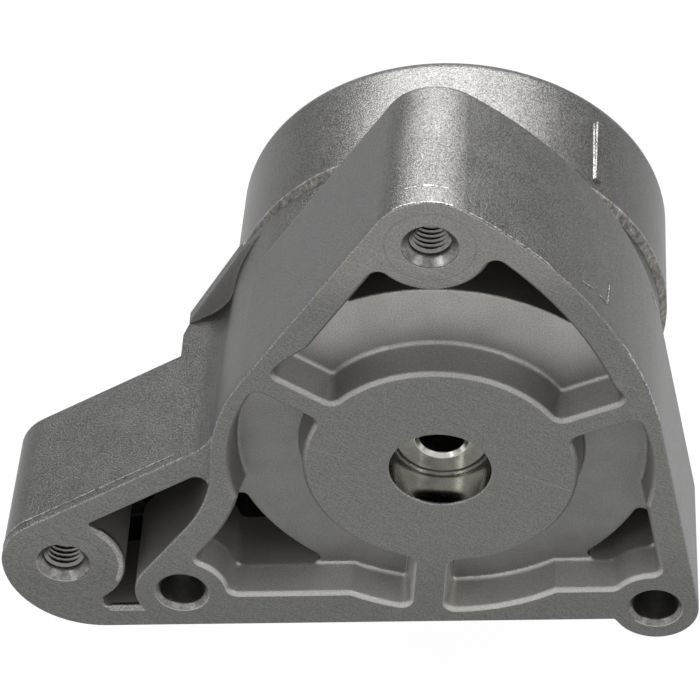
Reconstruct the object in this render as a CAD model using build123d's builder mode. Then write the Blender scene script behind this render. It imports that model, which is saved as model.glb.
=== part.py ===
from build123d import *
from math import acos, atan2, cos, degrees, hypot, radians, sin, sqrt, tan
import os

# Belt tensioner, millimetres. The pivot axis is Y and passes through the origin.
# Y = 0 is the machined face that bolts to the engine, and +Y points away from the engine,
# through the spring cup and the drum to the pulley. Z is up and X is to the right.
# Points in the mounting plane are written as (x, z).

# Fixing holes in the mounting face
top_hole = (2.4, 60.7)
lug_hole = (-77.5, -27.8)
left_hole = (-54.2, -34.9)
right_hole = (40.0, -41.5)
tapped_hole_radius = 4.0
tapped_hole_depth = 24.0
plain_hole_radius = 4.5
tapped_countersink_radius = 5.5
plain_countersink_radius = 5.5

# Base casting
axis = (0.0, 0.0)
top_boss_radius = 11.5
left_boss_radius = 9.4
right_boss_radius = 8.6
right_boss_inside = 9.6
lug_boss_radius = 12.3
lug_corner_radius = 19.0
lug_top_angle = 30.4
lug_step = 2.0
web = 6.0
lug_web = 5.5
plate_depth = 32.5
flank_centre = (-1.3, 0.0)
flank_radius = 43.4
flank_bulge_radius = 90.0
flank_lean = 5.9
leg_angle = 52.3
flare_angle = 186.8
leg_blend = 34.0
leg_heel = 5.0
armpit_angle = 171.0
lug_blend = 10.0
land_bottom = -42.8
rail_top = -35.8
rail_blend = 5.0
hub_radius = 26.7
recess_wall = 2.2
recess_depth = 7.5
upper_rib_width = 5.3
lower_rib_width = 7.0
lower_rib_angle = -97.6
pocket_depth = 27.0
pocket_corner = 1.6
lug_pocket_corner = 1.0
lug_pocket_tip_angle = 182.0
lug_pocket_tip = 2.2
recess_corner = 2.0
edge_round = 0.8
rim_chamfer = 0.6
draft = 2.0
recess_draft = 8.0

# Spring cup and its pivot boss
cup_radius = 42.0
cup_wall = 3.8
cup_floor = 5.0
cup_depth = 42.9
pivot_boss_radius = 16.0
pivot_boss_end = 26.0
front_bore_radius = 10.0

# Stop web beside the cup, its two stop posts and the travel of the arm
stop_web_left = -52.2
stop_web_shoulder = 0.05
stop_web_top = (-40.5, 18.5)
stop_web_foot = 142.0
stop_web_low = -12.0
stop_web_root = 28.5
stop_web_end = 44.0
stop_web_step = 1.1
stop_web_step_depth = 38.7
stop_web_step_end = 41.2
stop_post_start = 184.0
stop_post_angle = 7.0
stop_post_inner = 40.0
stop_post_outer = 48.0
stop_post_end = 50.0
stop_gap = 0.35
stop_lug_start = 45.0
drum_room = 0.7
arm_travel = 45.0

# Pivot shaft, bush and retaining parts
pivot_front = 8.0
pivot_radius = 9.7
pivot_hole_radius = 4.5
pivot_neck_radius = 7.5
pivot_chamfer = 0.8
pivot_head_radius = 9.6
pivot_head = 1.8
bush_wall = 3.0
bush_flange = 1.6
bush_flange_radius = 16.4
washer_thickness = 1.2
washer_radius = 19.0
retaining_plate_radius = 21.0
retaining_plate_thickness = 3.0
cap_radius = 8.6
cap_thickness = 1.4
cap_plug = 7.0
cap_chamfer = 0.6
bush_chamfer = 0.5

# Drum of the arm
rim_gap = 0.4
rim_face_radius = 42.0
drum_front_radius = 43.3
drum_rear_radius = 42.6
drum_rim_bevel = 1.7
drum_rear = 71.65
drum_rear_round = 3.0
drum_wall = 4.5
drum_floor = 5.0
shoe_step = 50.0
shoe_step_wall = 9.0
arm_hub_radius = 17.5
mark_angle = 44.5
mark_start = 48.2
mark_length = 16.0
mark_width = 1.7
mark_height = 0.4
mark_root = 2.0

# Arm and pulley seat
arm_length = 74.0
arm_front = 57.0
arm_root_radius = 33.0
arm_end_radius = 16.5
arm_wall = 4.0
arm_web = 5.0
pulley_boss_radius = 14.0
pulley_boss_front = 53.0
pulley_boss_rear = 75.0

# Spring and damper
wire_width = 5.0
wire_height = 5.6
spring_radius = 29.8
spring_turns = 4
spring_seat_thickness = 2.0
spring_clearance = 0.3
seat_inside = 2.3
seat_outside = 1.1
seat_lip = 2.0
seat_lip_height = 5.0
shoe_start = 30.0
shoe_thickness = 3.2
shoe_clearance = 0.3
shoe_angle = 165.0
shoe_arc = 210.0
band_thickness = 0.7

# Pulley and its bearing
bearing_bore_radius = 8.5
bearing_radius = 20.0
bearing_width = 12.0
inner_race_radius = 11.9
outer_race_radius = 16.6
ball_count = 8
ball_radius = 3.3
ball_sides = 12
ball_latitudes = (-80, -54, -27, 0, 27, 54, 80)
ball_clearance = 0.15
cage_wall = 1.2
cage_width = 8.2
seal_thickness = 0.8
seal_inset = 0.6
seal_seat_radius = 18.4
seal_gap = 0.35
bush_shoulder = 6.0
bush_shoulder_radius = 11.6
pulley_radius = 35.0
pulley_flange = 1.5
pulley_flange_width = 2.0
pulley_width = 25.0
pulley_rim = 3.0
pulley_hub_wall = 3.0
pulley_web = 3.0
pulley_ribs = 12
pulley_rib_width = 1.8
pulley_rib_inset = 0.5
bolt_radius = 5.0
bolt_grip = 34.0
bolt_flange_radius = 10.5
bolt_flange = 1.6
bolt_hex = 15.0
bolt_head = 6.5
bolt_chamfer = 0.6
bolt_hole_end = 58.0
shield_radius = 22.0
shield_thickness = 1.0
shield_dish = 1.2

# Clearances
slip = 0.02
running = 0.06
open_gap = 0.35

# Places and radii that follow from the sizes above
cup_floor_depth = recess_depth + cup_floor
drum_front = cup_depth + rim_gap
drum_inner_floor = drum_rear - drum_floor
hub_start = pivot_boss_end + open_gap + bush_flange
washer_start = drum_rear + open_gap
plate_start = washer_start + washer_thickness
plate_end = plate_start + retaining_plate_thickness
bearing_start = pulley_boss_rear + bush_shoulder
bearing_middle = bearing_start + bearing_width / 2
bearing_end = bearing_start + bearing_width
bolt_seat = bearing_end + shield_thickness
bush_bore_radius = pivot_radius + running
bush_radius = bush_bore_radius + bush_wall
recess_radius = flank_radius - recess_wall
cup_inner_radius = cup_radius - cup_wall
room_radius = drum_front_radius + drum_room
seat_inner_radius = spring_radius - wire_width / 2 - seat_inside
seat_outer_radius = spring_radius + wire_width / 2 + seat_outside + seat_lip
drum_inner_radius = drum_front_radius - drum_wall
shoe_radius = cup_inner_radius - shoe_clearance
pitch_radius = (inner_race_radius + outer_race_radius) / 2
pulley_centre = (0.0, -arm_length)
pulley_middle = (pulley_centre[0], bearing_middle, pulley_centre[1])
pulley_plane = Plane(origin=(pulley_centre[0], 0, pulley_centre[1]), x_dir=(1, 0, 0), z_dir=(0, 0, 1))
pulley_axis = Axis((pulley_centre[0], 0, pulley_centre[1]), (0, 1, 0))
spring_start = cup_floor_depth + spring_seat_thickness + spring_clearance + wire_height / 2
spring_length = drum_inner_floor - spring_clearance - wire_height / 2 - spring_start
stop_gap_angle = degrees(stop_gap / stop_post_outer)
lug_start = stop_post_start + stop_post_angle + stop_gap_angle
far_post_start = lug_start + stop_post_angle + arm_travel + stop_gap_angle


def at_depth(depth):
    """The mounting plane moved back by a depth, with local x = X and local y = Z."""
    return Plane.XZ.offset(-depth)


def on_circle(centre, radius, angle):
    """The point of a circle in the mounting plane at an angle from +X towards +Z."""
    return (centre[0] + radius * cos(radians(angle)), centre[1] + radius * sin(radians(angle)))


def tangent_angle(first, first_radius, second, second_radius):
    """Angle at which a line touches two circles on the left of the way from first to second."""
    across, up = second[0] - first[0], second[1] - first[1]
    lean = acos((first_radius - second_radius) / hypot(across, up))
    return degrees(atan2(up, across) + lean)


def bulge_centre(boss, boss_radius, side_normal, side_distance, radius):
    """Centre of the arc that runs smoothly from round a boss into a straight side.

    The side is the line at a distance from the origin along its normal, given as an angle.
    """
    across, up = cos(radians(side_normal)), sin(radians(side_normal))
    foot = (side_distance - radius) * across - boss[0], (side_distance - radius) * up - boss[1]
    along = foot[1] * across - foot[0] * up
    reach = along ** 2 - hypot(*foot) ** 2 + (radius - boss_radius) ** 2
    step = -along - sqrt(reach)
    return (foot[0] + boss[0] - step * up, foot[1] + boss[1] + step * across)


def hole_place(centre, depth=0.0):
    """A drilling plane at a point of the mounting side, drilling towards +Y."""
    return Plane(origin=(centre[0], depth, centre[1]), z_dir=(0, -1, 0))


def rear_hole_place(centre, depth):
    """A drilling plane at a point seen from the pulley side, drilling back towards -Y."""
    return Plane(origin=(centre[0], depth, centre[1]), z_dir=(0, 1, 0))


def radial_plane(angle):
    """The half-plane through the pivot axis at an angle, with local x = radius and local y = Y."""
    along, up = cos(radians(angle)), sin(radians(angle))
    return Plane(origin=(0, 0, 0), x_dir=(along, 0, up), z_dir=(-up, 0, along))


def band_points(start_angle, end_angle, inner, outer):
    """Corners of a block that spans two angles and two radii round the pivot axis."""
    corners = ((inner, start_angle), (outer, start_angle), (outer, end_angle), (inner, end_angle))
    return [on_circle(axis, radius, angle) for radius, angle in corners]


os.makedirs("parts", exist_ok=True)

# Outline of the raised mounting land: a rounded triangle round the cup with a leg to the left
left_tangent = tangent_angle(flank_centre, flank_radius, top_hole, top_boss_radius)
leg_foot = on_circle(left_hole, left_boss_radius, leg_angle + 90)
leg_top = on_circle(leg_foot, flank_radius, leg_angle)
side_distance = (right_hole[0] * cos(radians(flank_lean)) + right_hole[1] * sin(radians(flank_lean))
                 + right_boss_radius)
bulge = bulge_centre(top_hole, top_boss_radius, flank_lean, side_distance, flank_bulge_radius)
bulge_top = degrees(atan2(top_hole[1] - bulge[1], top_hole[0] - bulge[0]))
with BuildSketch(Plane.XZ) as land_shape:
    with Locations(flank_centre):
        Circle(flank_radius)
    with Locations((0, land_bottom)):
        Rectangle(2 * flank_radius, flank_radius, align=(Align.CENTER, Align.MAX), mode=Mode.SUBTRACT)
    with BuildLine():
        flank_start = on_circle(flank_centre, flank_radius, left_tangent)
        apex_left = on_circle(top_hole, top_boss_radius, left_tangent)
        apex_right = on_circle(top_hole, top_boss_radius, bulge_top)
        flank_foot = on_circle(bulge, flank_bulge_radius, flank_lean)
        boss_right = on_circle(right_hole, right_boss_radius, flank_lean)
        boss_left = on_circle(right_hole, right_boss_radius, 180)
        Line(flank_start, apex_left)
        ThreePointArc(apex_left, on_circle(top_hole, top_boss_radius, 95), apex_right)
        ThreePointArc(apex_right, on_circle(bulge, flank_bulge_radius, (bulge_top + flank_lean) / 2),
                      flank_foot)
        Line(flank_foot, boss_right)
        ThreePointArc(boss_right, on_circle(right_hole, right_boss_radius, -90), boss_left)
        Polyline(boss_left, axis, flank_start)
    make_face()
    Polygon(leg_foot, leg_top, axis, left_hole, align=None)
    Polygon((left_hole[0], land_bottom), (right_hole[0], land_bottom), right_hole, axis, left_hole,
            align=None)
    with Locations(left_hole):
        Circle(left_boss_radius)
    with Locations((left_hole[0], land_bottom)):
        Rectangle(4 * left_boss_radius, left_boss_radius, align=(Align.CENTER, Align.MAX),
                  mode=Mode.SUBTRACT)
    flare = land_shape.vertices().sort_by_distance(on_circle(flank_centre, flank_radius, flare_angle))[0]
    fillet(flare, radius=leg_blend)
    heel = land_shape.vertices().sort_by_distance((right_hole[0] - right_boss_radius, land_bottom))[0]
    fillet(heel, radius=rail_blend)
    left_heel = land_shape.vertices().sort_by_distance(
        (left_hole[0] - left_boss_radius, land_bottom))[0]
    fillet(left_heel, radius=leg_heel)

# Outline of the full casting behind the land: the same triangle with the lug and the bottom rail
lug_top_left = on_circle(lug_hole, lug_boss_radius, lug_top_angle + 90)
lug_far_left = on_circle(lug_hole, lug_boss_radius, 180)
lug_corner = (lug_far_left[0] + lug_corner_radius, lug_hole[1])
rail_bottom = lug_corner[1] - lug_corner_radius
lug_reach = (axis[0] - flank_radius - lug_top_left[0]) / cos(radians(lug_top_angle))
lug_top_right = on_circle(lug_top_left, lug_reach + web, lug_top_angle)
with BuildSketch(Plane.XZ) as lug_shape:
    with BuildLine():
        Line(lug_top_right, lug_top_left)
        ThreePointArc(lug_top_left, on_circle(lug_hole, lug_boss_radius, 150), lug_far_left)
        ThreePointArc(lug_far_left, on_circle(lug_corner, lug_corner_radius, 225),
                      (lug_corner[0], rail_bottom))
        Polyline((lug_corner[0], rail_bottom), (right_hole[0], rail_bottom), right_hole, axis,
                 lug_top_right)
    make_face()
with BuildSketch(Plane.XZ) as body_shape:
    add(land_shape.sketch_local)
    add(lug_shape.sketch_local)
    armpit = body_shape.vertices().sort_by_distance(on_circle(flank_centre, flank_radius, armpit_angle))[0]
    fillet(armpit, radius=lug_blend)
    heel = body_shape.vertices().sort_by_distance((right_hole[0] - right_boss_radius, rail_bottom))[0]
    fillet(heel, radius=rail_blend)

# What is cut into the mounting side: the shallow recess round the hub, and the deep pockets
with BuildSketch(Plane.XZ) as inside_shape:
    add(land_shape.sketch_local)
    offset(amount=-web, mode=Mode.REPLACE)
    with Locations((0, rail_top)):
        Rectangle(4 * flank_radius, flank_radius, align=(Align.CENTER, Align.MAX), mode=Mode.SUBTRACT)
    for centre, radius in ((top_hole, top_boss_radius), (left_hole, left_boss_radius),
                           (right_hole, right_boss_inside)):
        with Locations(centre):
            Circle(radius, mode=Mode.SUBTRACT)
with BuildSketch(Plane.XZ) as recess_shape:
    add(inside_shape.sketch_local)
    Circle(recess_radius)
    Circle(hub_radius, mode=Mode.SUBTRACT)
    for angle, width in ((lower_rib_angle, lower_rib_width),
                         (lower_rib_angle + 120, upper_rib_width),
                         (lower_rib_angle + 240, upper_rib_width)):
        with Locations(Location(on_circle(axis, flank_radius, angle), angle)):
            Rectangle(2 * flank_radius, width, mode=Mode.SUBTRACT)
    offset(amount=-recess_corner, mode=Mode.REPLACE)
    offset(amount=recess_corner, mode=Mode.REPLACE)
recess_shrink = recess_depth * tan(radians(recess_draft))
pocket_start = recess_depth - edge_round
with BuildSketch(at_depth(pocket_start)) as pocket_shape:
    add(inside_shape.sketch_local)
    offset(amount=-recess_shrink, mode=Mode.REPLACE)
    Circle(cup_radius, mode=Mode.SUBTRACT)
    offset(amount=-pocket_corner, mode=Mode.REPLACE)
    offset(amount=pocket_corner, mode=Mode.REPLACE)
with BuildSketch(Plane.XZ) as lug_pocket_shape:
    add(lug_shape.sketch_local)
    offset(amount=-lug_web, mode=Mode.REPLACE)
    add(land_shape.sketch_local, mode=Mode.SUBTRACT)
    with Locations(lug_hole):
        Circle(lug_boss_radius, mode=Mode.SUBTRACT)
    with Locations(lug_corner):
        Rectangle(lug_corner_radius, lug_corner_radius, align=(Align.MAX, Align.MAX), mode=Mode.SUBTRACT)
    tip = lug_pocket_shape.vertices().sort_by_distance(
        on_circle(flank_centre, flank_radius, lug_pocket_tip_angle))[0]
    fillet(tip, radius=lug_pocket_tip)
    offset(amount=-lug_pocket_corner, mode=Mode.REPLACE)
    offset(amount=lug_pocket_corner, mode=Mode.REPLACE)

# The recess as it is milled away: drafted walls and a round at the foot
with BuildPart() as recess:
    with BuildSketch(Plane.XZ):
        add(recess_shape.sketch_local)
    extrude(amount=-recess_depth, taper=recess_draft)
    fillet(recess.faces().sort_by(Axis.Y)[-3:].edges(), radius=edge_round)

# Web beside the cup that backs the first stop post: the walls of the casting carried further back,
# a thin plate with a straight top edge, and a step on the left side
web_shrink = (plate_depth - lug_step) * tan(radians(draft))
web_foot = on_circle(flank_centre, flank_radius - (stop_web_end - lug_step) * tan(radians(draft)),
                     stop_web_foot)
with BuildPart() as stop_web:
    with BuildSketch(at_depth(plate_depth)) as web_shape:
        with Locations(flank_centre):
            Circle(flank_radius - web_shrink)
        with Locations((0, -web_shrink / cos(radians(lug_top_angle)))):
            add(lug_shape.sketch_local)
        armpit = web_shape.vertices().sort_by_distance(on_circle(flank_centre, flank_radius, armpit_angle))[0]
        fillet(armpit, radius=lug_blend)
    extrude(amount=-(stop_web_step_end - plate_depth), taper=draft)
    with BuildSketch(at_depth(stop_web_step_end)):
        Polygon((stop_web_left, stop_web_low), (stop_web_left, stop_web_shoulder), stop_web_top,
                web_foot, axis, (axis[0], stop_web_low), align=None)
    extrude(amount=-(stop_web_end - stop_web_step_end))
    with BuildSketch(Plane.XY.offset(stop_web_low)):
        Polygon((stop_web_left - stop_web_step, stop_web_root),
                (stop_web_left - stop_web_step, stop_web_step_depth),
                (stop_web_left, stop_web_step_end), (stop_web_left, stop_web_end),
                (web_foot[0], stop_web_end), (web_foot[0], stop_web_root), align=None)
    extrude(amount=web_foot[1] - stop_web_low, mode=Mode.INTERSECT)

# Base: mounting land, lug and rail, spring cup with its floor, hub and pivot boss, in one casting
with BuildPart() as base_housing:
    with BuildSketch(at_depth(lug_step)):
        add(body_shape.sketch_local)
    extrude(amount=-(plate_depth - lug_step), taper=draft)
    with BuildSketch(Plane.XZ):
        add(land_shape.sketch_local)
    extrude(amount=-lug_step)
    with BuildSketch(at_depth(lug_step)):
        with Locations(flank_centre):
            Circle(flank_radius)
    extrude(amount=-(cup_depth - lug_step), taper=draft)
    with BuildSketch(at_depth(recess_depth)):
        Circle(cup_radius)
    extrude(amount=-(cup_depth - recess_depth))
    add(recess.part, mode=Mode.SUBTRACT)
    rims = base_housing.faces().sort_by(Axis.Y)[0].inner_wires()
    chamfer([edge for rim in rims for edge in rim.edges()], length=rim_chamfer)
    with BuildSketch(at_depth(pocket_start)):
        add(pocket_shape.sketch_local)
    extrude(amount=-(pocket_depth - pocket_start), mode=Mode.SUBTRACT)
    with BuildSketch(at_depth(lug_step)):
        add(lug_pocket_shape.sketch_local)
    extrude(amount=-(pocket_depth - lug_step), mode=Mode.SUBTRACT)
    add(stop_web.part)
    with BuildSketch(at_depth(stop_web_root)):
        for start in (stop_post_start, far_post_start):
            Polygon(*band_points(start, start + stop_post_angle, stop_post_inner, stop_post_outer),
                    align=None)
    extrude(amount=-(stop_post_end - stop_web_root))
    with BuildSketch(at_depth(cup_depth)):
        Circle(room_radius)
    extrude(amount=-cup_depth, mode=Mode.SUBTRACT)
    with BuildSketch(at_depth(cup_floor_depth)):
        Circle(cup_inner_radius)
        Circle(pivot_boss_radius, mode=Mode.SUBTRACT)
    extrude(amount=-(cup_depth - cup_floor_depth), mode=Mode.SUBTRACT)
    with BuildSketch(at_depth(pivot_boss_end)):
        Circle(cup_inner_radius)
    extrude(amount=-(cup_depth - pivot_boss_end), mode=Mode.SUBTRACT)
    with Locations(hole_place(axis)):
        Hole(front_bore_radius, depth=pivot_front)
        Hole(pivot_radius + slip, depth=cup_depth)
    for centre, depth in ((top_hole, 0), (lug_hole, lug_step)):
        with Locations(hole_place(centre, depth)):
            CounterSinkHole(tapped_hole_radius, tapped_countersink_radius, depth=tapped_hole_depth,
                            counter_sink_angle=90)
    for centre in (left_hole, right_hole):
        with Locations(hole_place(centre)):
            CounterSinkHole(plain_hole_radius, plain_countersink_radius, depth=cup_depth,
                            counter_sink_angle=90)
base_housing.part.label = "base_housing"
export_step(base_housing.part, "parts/base_housing.step")

# Pivot: a hollow steel shaft, its front end set back in the bore of the hub, peened over at the rear
with BuildPart() as pivot_shaft:
    with BuildSketch(at_depth(pivot_front)):
        Circle(pivot_radius)
    extrude(amount=-(plate_start - pivot_front))
    with BuildSketch(at_depth(plate_start)):
        Circle(pivot_neck_radius)
    extrude(amount=-retaining_plate_thickness)
    with BuildSketch(at_depth(plate_end)):
        Circle(pivot_head_radius)
    extrude(amount=-pivot_head)
    chamfer(pivot_shaft.faces().sort_by(Axis.Y)[0].edges(), length=pivot_chamfer)
    chamfer(pivot_shaft.faces().sort_by(Axis.Y)[-1].edges(), length=pivot_chamfer)
    with Locations(hole_place(axis, pivot_front)):
        CounterSinkHole(pivot_hole_radius, pivot_hole_radius + pivot_chamfer,
                        depth=plate_end + pivot_head, counter_sink_angle=90)
pivot_shaft.part.label = "pivot_shaft"
export_step(pivot_shaft.part, "parts/pivot_shaft.step")

# Flanged bush pressed into the hub of the arm, running on the pivot
with BuildPart() as pivot_bushing:
    with BuildSketch(at_depth(pivot_boss_end + open_gap)):
        Circle(bush_flange_radius)
    extrude(amount=-bush_flange)
    with BuildSketch(at_depth(hub_start)):
        Circle(bush_radius)
    extrude(amount=-(drum_rear - hub_start))
    with Locations(hole_place(axis, pivot_boss_end)):
        Hole(bush_bore_radius, depth=drum_rear)
    chamfer(pivot_bushing.faces().sort_by(Axis.Y)[-1].edges(), length=bush_chamfer)
pivot_bushing.part.label = "pivot_bushing"
export_step(pivot_bushing.part, "parts/pivot_bushing.step")

# Thrust washer between the arm and the retaining plate
with BuildPart() as thrust_washer:
    with BuildSketch(at_depth(washer_start)):
        Circle(washer_radius)
        Circle(pivot_radius + running, mode=Mode.SUBTRACT)
    extrude(amount=-washer_thickness)
thrust_washer.part.label = "thrust_washer"
export_step(thrust_washer.part, "parts/thrust_washer.step")

# Retaining plate held by the peened end of the pivot
with BuildPart() as retaining_plate:
    with BuildSketch(at_depth(plate_start)):
        Circle(retaining_plate_radius)
    extrude(amount=-retaining_plate_thickness)
    chamfer(retaining_plate.faces().sort_by(Axis.Y)[-1].edges(), length=pivot_chamfer)
    with Locations(hole_place(axis, plate_start)):
        Hole(pivot_neck_radius + slip, depth=plate_end)
retaining_plate.part.label = "retaining_plate"
export_step(retaining_plate.part, "parts/retaining_plate.step")

# Plug that closes the hollow pivot at the rear
with BuildPart() as pivot_cap:
    with BuildSketch(at_depth(plate_end + pivot_head - cap_plug)):
        Circle(pivot_hole_radius - slip)
    extrude(amount=-cap_plug)
    with BuildSketch(at_depth(plate_end + pivot_head)):
        Circle(cap_radius)
    extrude(amount=-cap_thickness)
    chamfer(pivot_cap.faces().sort_by(Axis.Y)[-1].edges(), length=cap_chamfer)
pivot_cap.part.label = "pivot_cap"
export_step(pivot_cap.part, "parts/pivot_cap.step")

# Ring the spring stands on at the bottom of the cup, with a lip round the first turn
with BuildPart() as spring_seat:
    with BuildSketch(at_depth(cup_floor_depth)):
        Circle(seat_outer_radius)
        Circle(seat_inner_radius, mode=Mode.SUBTRACT)
    extrude(amount=-spring_seat_thickness)
    with BuildSketch(at_depth(cup_floor_depth + spring_seat_thickness)):
        Circle(seat_outer_radius)
        Circle(seat_outer_radius - seat_lip, mode=Mode.SUBTRACT)
    extrude(amount=-seat_lip_height)
spring_seat.part.label = "spring_seat"
export_step(spring_seat.part, "parts/spring_seat.step")

# Torsion spring of flat-sided wire between the base and the arm
with BuildPart() as torsion_spring:
    with BuildLine() as coil:
        Helix(pitch=spring_length / spring_turns, height=spring_length, radius=spring_radius,
              center=(0, spring_start, 0), direction=(0, 1, 0))
    with BuildSketch(Plane(origin=coil.line @ 0, x_dir=(1, 0, 0), z_dir=coil.line % 0)):
        Rectangle(wire_width, wire_height)
    sweep(is_frenet=True)
torsion_spring.part.label = "torsion_spring"
export_step(torsion_spring.part, "parts/torsion_spring.step")

# Arm casting: drum, pivot hub, beam to the pulley seat, index rib and stop lug
with BuildPart() as tensioner_arm:
    with BuildSketch(Plane.XY):
        with BuildLine():
            Polyline((0, drum_front), (rim_face_radius, drum_front),
                     (drum_front_radius, drum_front + drum_rim_bevel),
                     (drum_rear_radius, drum_rear), (0, drum_rear), (0, drum_front))
        make_face()
    revolve(axis=Axis.Y)
    fillet(tensioner_arm.faces().sort_by(Axis.Y)[-1].edges(), radius=drum_rear_round)
    with BuildSketch(at_depth(arm_front)) as beam:
        with BuildLine():
            CenterArc(axis, arm_root_radius, 0, 360)
            CenterArc(pulley_centre, arm_end_radius, 0, 360)
        make_hull()
    extrude(amount=-(drum_rear - drum_rear_round - arm_front))
    with BuildSketch(at_depth(pulley_boss_front)):
        with Locations(pulley_centre):
            Circle(pulley_boss_radius)
    extrude(amount=-(pulley_boss_rear - pulley_boss_front))
    with BuildSketch(at_depth(arm_front + arm_web)):
        add(beam.sketch_local)
        offset(amount=-arm_wall, mode=Mode.REPLACE)
        Circle(drum_front_radius, mode=Mode.SUBTRACT)
        with Locations(pulley_centre):
            Circle(pulley_boss_radius, mode=Mode.SUBTRACT)
        with Locations((0, -arm_length / 2)):
            Rectangle(arm_wall, arm_length, mode=Mode.SUBTRACT)
        offset(amount=-pocket_corner, mode=Mode.REPLACE)
        offset(amount=pocket_corner, mode=Mode.REPLACE)
    extrude(amount=-(drum_rear - arm_front), mode=Mode.SUBTRACT)
    with BuildSketch(at_depth(mark_start)):
        with Locations(Location(on_circle(axis, drum_front_radius + mark_height, mark_angle), mark_angle)):
            Rectangle(mark_root, mark_width, align=(Align.MAX, Align.CENTER))
    extrude(amount=-mark_length)
    with BuildSketch(at_depth(stop_lug_start)):
        Polygon(*band_points(lug_start, lug_start + stop_post_angle, stop_post_inner, stop_post_outer),
                align=None)
    extrude(amount=-(stop_post_end - stop_lug_start))
    with BuildSketch(Plane.XY):
        with BuildLine():
            Polyline((0, 0), (drum_inner_radius, 0), (drum_inner_radius, shoe_step),
                     (drum_front_radius - shoe_step_wall, shoe_step),
                     (drum_front_radius - shoe_step_wall, drum_inner_floor),
                     (arm_hub_radius, drum_inner_floor), (arm_hub_radius, hub_start), (0, hub_start),
                     (0, 0))
        make_face()
    revolve(axis=Axis.Y, mode=Mode.SUBTRACT)
    with Locations(hole_place(axis)):
        Hole(bush_radius + slip, depth=drum_rear)
    with Locations(rear_hole_place(pulley_centre, pulley_boss_rear)):
        CounterSinkHole(bolt_radius + slip, bolt_radius + pivot_chamfer,
                        depth=pulley_boss_rear - bolt_hole_end, counter_sink_angle=90)
tensioner_arm.part.label = "tensioner_arm"
export_step(tensioner_arm.part, "parts/tensioner_arm.step")

# Friction shoe that rubs on the wall of the cup, and the sprung band behind it
with BuildPart() as damping_shoe:
    with BuildSketch(radial_plane(shoe_angle)):
        with Locations((shoe_radius, shoe_step)):
            Rectangle(shoe_thickness, shoe_step - shoe_start, align=(Align.MAX, Align.MAX))
    revolve(axis=Axis.Y, revolution_arc=shoe_arc)
damping_shoe.part.label = "damping_shoe"
export_step(damping_shoe.part, "parts/damping_shoe.step")
with BuildPart() as damping_band:
    with BuildSketch(radial_plane(shoe_angle)):
        with Locations((shoe_radius - shoe_thickness - slip, shoe_step)):
            Rectangle(band_thickness, shoe_step - shoe_start, align=(Align.MAX, Align.MAX))
    revolve(axis=Axis.Y, revolution_arc=shoe_arc)
damping_band.part.label = "damping_band"
export_step(damping_band.part, "parts/damping_band.step")

# Pulley: a moulded wheel with two small flanges, a web and ribs, round the bearing
with BuildPart() as pulley:
    with BuildSketch(pulley_plane):
        with Locations((pulley_radius, bearing_middle)):
            Rectangle(pulley_rim, pulley_width, align=(Align.MAX, Align.CENTER))
        with Locations((pulley_radius, bearing_middle - (pulley_width - pulley_flange_width) / 2),
                       (pulley_radius, bearing_middle + (pulley_width - pulley_flange_width) / 2)):
            Rectangle(2 * pulley_flange, pulley_flange_width)
        with Locations((pulley_radius - pulley_rim, bearing_middle)):
            Rectangle(pulley_radius - pulley_rim - bearing_radius, pulley_web,
                      align=(Align.MAX, Align.CENTER))
        with Locations((bearing_radius + slip, bearing_middle)):
            Rectangle(pulley_hub_wall, bearing_width, align=(Align.MIN, Align.CENTER))
        with Locations((0, bearing_middle)):
            Rectangle(2 * (bearing_radius + slip), pulley_width, mode=Mode.SUBTRACT)
    revolve(axis=pulley_axis)
    with BuildSketch(at_depth(bearing_start + pulley_rib_inset)):
        with Locations(pulley_centre):
            with PolarLocations(bearing_radius + pulley_hub_wall / 2, pulley_ribs):
                Rectangle(pulley_radius - pulley_rim / 2 - bearing_radius - pulley_hub_wall / 2,
                          pulley_rib_width, align=(Align.MIN, Align.CENTER))
    extrude(amount=-(bearing_width - 2 * pulley_rib_inset))
pulley.part.label = "pulley"
export_step(pulley.part, "parts/pulley.step")

# Deep-groove ball bearing inside the pulley
with BuildPart() as bearing_outer_ring:
    with BuildSketch(pulley_plane):
        with Locations((outer_race_radius, bearing_middle)):
            Rectangle(bearing_radius - outer_race_radius, bearing_width,
                      align=(Align.MIN, Align.CENTER))
        for side in (-1, 1):
            with Locations((outer_race_radius, bearing_middle + side * bearing_width / 2)):
                Rectangle(2 * (seal_seat_radius - outer_race_radius),
                          2 * (seal_inset + seal_thickness), mode=Mode.SUBTRACT)
        with Locations((pitch_radius, bearing_middle)):
            Circle(ball_radius + ball_clearance, mode=Mode.SUBTRACT)
    revolve(axis=pulley_axis)
bearing_outer_ring.part.label = "bearing_outer_ring"
export_step(bearing_outer_ring.part, "parts/bearing_outer_ring.step")
with BuildPart() as bearing_inner_ring:
    with BuildSketch(pulley_plane):
        with Locations((bearing_bore_radius, bearing_middle)):
            Rectangle(inner_race_radius - bearing_bore_radius, bearing_width,
                      align=(Align.MIN, Align.CENTER))
        with Locations((pitch_radius, bearing_middle)):
            Circle(ball_radius + ball_clearance, mode=Mode.SUBTRACT)
    revolve(axis=pulley_axis)
bearing_inner_ring.part.label = "bearing_inner_ring"
export_step(bearing_inner_ring.part, "parts/bearing_inner_ring.step")
with BuildPart() as ball:
    for height in ball_latitudes:
        with BuildSketch(Plane.XY.offset(ball_radius * sin(radians(height)))):
            RegularPolygon(radius=ball_radius * cos(radians(height)), side_count=ball_sides)
    loft(ruled=True)
with BuildPart() as bearing_balls:
    with Locations(Plane(origin=pulley_middle, x_dir=(1, 0, 0), z_dir=(0, -1, 0))):
        with PolarLocations(pitch_radius, ball_count):
            add(ball.part)
bearing_balls.part.label = "bearing_balls"
export_step(bearing_balls.part, "parts/bearing_balls.step")
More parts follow.
